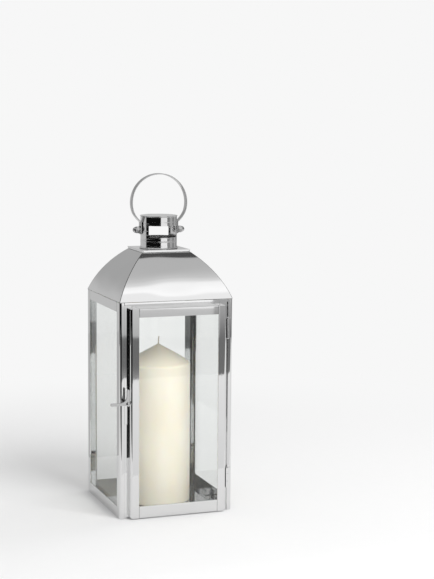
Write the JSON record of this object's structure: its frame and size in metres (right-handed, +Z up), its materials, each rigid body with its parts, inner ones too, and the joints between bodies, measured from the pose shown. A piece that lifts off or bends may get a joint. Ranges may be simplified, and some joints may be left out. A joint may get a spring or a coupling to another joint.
{
  "type": "candle lantern",
  "caption": "Square polished steel and glass lantern with a curved roof, vented chimney, ring handle, hinged glass door, turn latch and pillar candle.",
  "frame": {"origin": "middle of the square base, on the surface the lantern stands on", "axes": "+Z up, the door faces -Y, +X to the right of someone looking at the door"},
  "size_m": [0.1972, 0.1932, 0.5175],
  "materials": {
    "polished_steel": "mirror-polished sheet steel",
    "clear_glass": "clear float glass",
    "candle_wax": "ivory wax, smooth and slightly translucent",
    "wick_cotton": "unburnt braided cotton"
  },
  "bodies": {
    "lantern_body": {"floor_plate": "polished_steel", "post_front_left": "polished_steel", "post_front_right": "polished_steel", "post_back_left": "polished_steel", "post_back_right": "polished_steel", "base_rail_front": "polished_steel", "base_rail_back": "polished_steel", "base_rail_left": "polished_steel", "base_rail_right": "polished_steel", "header_rail_front": "polished_steel", "header_rail_back": "polished_steel", "header_rail_left": "polished_steel", "header_rail_right": "polished_steel", "roof_panel_front": "polished_steel", "roof_panel_right": "polished_steel", "roof_panel_back": "polished_steel", "roof_panel_left": "polished_steel", "roof_cap_plate": "polished_steel", "chimney_collar": "polished_steel", "chimney_tube": "polished_steel", "chimney_lid": "polished_steel", "glass_back": "clear_glass", "glass_left": "clear_glass", "glass_right": "clear_glass", "glass_tab_top_back": "polished_steel", "glass_tab_top_left": "polished_steel", "glass_tab_top_right": "polished_steel", "glass_tab_bottom_back": "polished_steel", "glass_tab_bottom_left": "polished_steel", "glass_tab_bottom_right": "polished_steel", "hinge_post_leaf_upper": "polished_steel", "hinge_post_leaf_lower": "polished_steel", "hinge_pin_upper": "polished_steel", "hinge_pin_lower": "polished_steel", "handle_bolt_left": "polished_steel", "handle_bolt_right": "polished_steel", "handle_washer_left": "polished_steel", "handle_washer_right": "polished_steel", "handle_nut_left": "polished_steel", "handle_nut_right": "polished_steel", "latch_plate": "polished_steel", "latch_stud": "polished_steel", "candle": "candle_wax", "wick": "wick_cotton"},
    "door": {"door_stile_left": "polished_steel", "door_stile_right": "polished_steel", "door_rail_top": "polished_steel", "door_rail_bottom": "polished_steel", "door_glass": "clear_glass", "door_glass_tab_top": "polished_steel", "door_glass_tab_bottom": "polished_steel", "hinge_door_leaf_upper": "polished_steel", "hinge_door_leaf_lower": "polished_steel"},
    "handle": {"handle_ring": "polished_steel"},
    "latch": {"latch_lever": "polished_steel"}
  },
  "joints": [
    {"name": "door_hinge", "type": "hinge", "parent": "lantern_body", "child": "door", "pos_m": [0.0808, -0.0929, 0.16], "axis": [0, 0, 1], "range_deg": [0, 110]},
    {"name": "handle_swing", "type": "hinge", "parent": "lantern_body", "child": "handle", "pos_m": [0, 0, 0.4305], "axis": [1, 0, 0], "range_deg": [-122, 122]},
    {"name": "latch_turn", "type": "hinge", "parent": "lantern_body", "child": "latch", "pos_m": [-0.0796, -0.1, 0.179], "axis": [0, 1, 0], "range_deg": [0, 90]}
  ]
}
